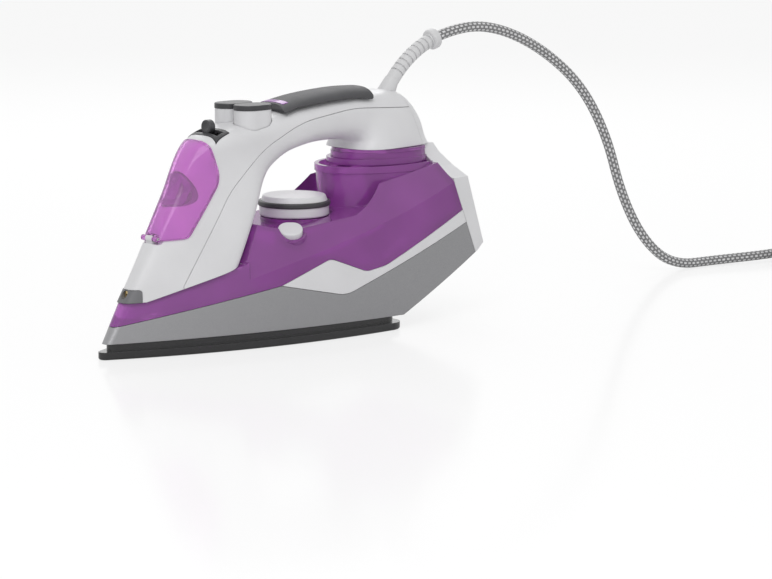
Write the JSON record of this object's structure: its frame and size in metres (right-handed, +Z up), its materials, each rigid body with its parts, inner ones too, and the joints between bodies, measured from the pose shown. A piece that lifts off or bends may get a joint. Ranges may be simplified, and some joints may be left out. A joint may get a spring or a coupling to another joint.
{
  "type": "steam iron",
  "caption": "Household steam iron with a tinted water tank, a closed-loop handle, a temperature dial, spray and steam buttons, a filler door and a cord on a swivel sleeve.",
  "frame": {"origin": "on the plane the soleplate rests on, below the middle of the length and width, without the cord", "axes": "+X from the nose to the heel, +Z up from the soleplate, +Y to the right of someone who holds it and looks towards the nose"},
  "size_m": [0.6988, 0.1918, 0.1952],
  "materials": {
    "sole_coating": "black gloss non-stick coating on aluminium",
    "cast_aluminium": "as cast",
    "plain_steel": "plain",
    "ceramic_white": "heat resistant",
    "silver_skirt": "satin metallic lacquer",
    "white_plastic": "semi gloss moulded",
    "tank_purple": "clear tinted, glossy",
    "lens_purple": "clear tinted, glossy",
    "lamp_glass": "clear",
    "grip_rubber": "soft touch, matte",
    "dark_plastic": "fine texture",
    "grey_plastic": "fine texture",
    "spring_steel": "drawn wire",
    "silicone": "soft",
    "brass_parts": "turned",
    "sleeve_white": "soft, ribbed",
    "wire_cover": "woven cover",
    "cord_braid": "grey braid with pale flecks",
    "plug_white": "moulded"
  },
  "bodies": {
    "iron": {"soleplate": "sole_coating", "sole_casting": "cast_aluminium", "heating_element": "plain_steel", "chamber_cover": "plain_steel", "thermostat": "ceramic_white", "thermal_fuse": "ceramic_white", "casting_screws": "plain_steel", "skirt": "silver_skirt", "side_trims": "white_plastic", "water_tank": "tank_purple", "tank_floor": "tank_purple", "handle_top_cover": "white_plastic", "handle_lower_shell": "white_plastic", "rear_cap": "white_plastic", "rear_cover": "white_plastic", "rear_cover_screws": "plain_steel", "grip_pad": "grip_rubber", "pilot_lens": "lens_purple", "pilot_lamp": "lamp_glass", "spray_pump": "grey_plastic", "spray_spring": "spring_steel", "steam_pump": "grey_plastic", "steam_spring": "spring_steel", "pump_carrier": "white_plastic", "spray_hose": "silicone", "steam_hose": "silicone", "lever_pin": "plain_steel", "slot_plate": "dark_plastic", "drip_valve": "brass_parts", "door_pin": "plain_steel", "inlet_cup": "tank_purple", "spray_nozzle": "grey_plastic", "nozzle_jet": "brass_parts", "clean_spring": "spring_steel", "terminal_block": "grey_plastic", "cord_clamp": "grey_plastic", "supply_wires": "wire_cover"},
    "dial": {"dial_skirt": "white_plastic", "dial_ring": "dark_plastic", "dial_cap": "white_plastic", "dial_shaft": "grey_plastic"},
    "spray_press": {"spray_button": "white_plastic", "spray_button_cap": "dark_plastic"},
    "steam_press": {"steam_button": "white_plastic", "steam_button_cap": "dark_plastic"},
    "lever": {"steam_lever": "dark_plastic"},
    "valve": {"valve_rod": "plain_steel"},
    "door": {"filler_door": "tank_purple", "filler_plug": "tank_purple"},
    "clean": {"clean_button": "white_plastic"},
    "cord": {"cord_sleeve": "sleeve_white", "swivel_ball": "white_plastic", "cord_lead": "cord_braid", "cord_coil": "cord_braid", "cord_tie": "dark_plastic", "plug_body": "plug_white", "plug_pins": "brass_parts"}
  },
  "joints": [
    {"name": "dial_turn", "type": "hinge", "parent": "iron", "child": "dial", "pos_m": [0.0158, 0, 0.076], "axis": [0, 0, 1], "range_deg": [-135, 135]},
    {"name": "spray_button_press", "type": "slide", "parent": "iron", "child": "spray_press", "axis": [0, 0, -1], "range_m": [0, 0.004], "deforming": ["spray_spring"]},
    {"name": "steam_button_press", "type": "slide", "parent": "iron", "child": "steam_press", "axis": [0, 0, -1], "range_m": [0, 0.004], "deforming": ["steam_spring"]},
    {"name": "steam_lever_swing", "type": "hinge", "parent": "iron", "child": "lever", "pos_m": [-0.0565, 0, 0.112], "axis": [1, 0, 0], "range_deg": [-15, 15]},
    {"name": "valve_rod_slide", "type": "slide", "parent": "iron", "child": "valve", "axis": [0, 0, 1], "range_m": [-0.00105, 0.00105]},
    {"name": "filler_door_swing", "type": "hinge", "parent": "iron", "child": "door", "pos_m": [-0.1045, 0, 0.073], "axis": [0, -1, 0], "range_deg": [0, 95]},
    {"name": "clean_button_press", "type": "slide", "parent": "iron", "child": "clean", "axis": [0.3301, 0.4201, -0.8453], "range_m": [0, 0.0025], "deforming": ["clean_spring"]},
    {"name": "cord_swivel", "type": "hinge", "parent": "iron", "child": "cord", "pos_m": [0.098, 0, 0.1458], "axis": [0, 0, 1], "range_deg": [-80, 80]}
  ],
  "couplings": [
    {"joint": "valve_rod_slide", "follows": "steam_lever_swing", "m_per_rad": 0.004}
  ]
}
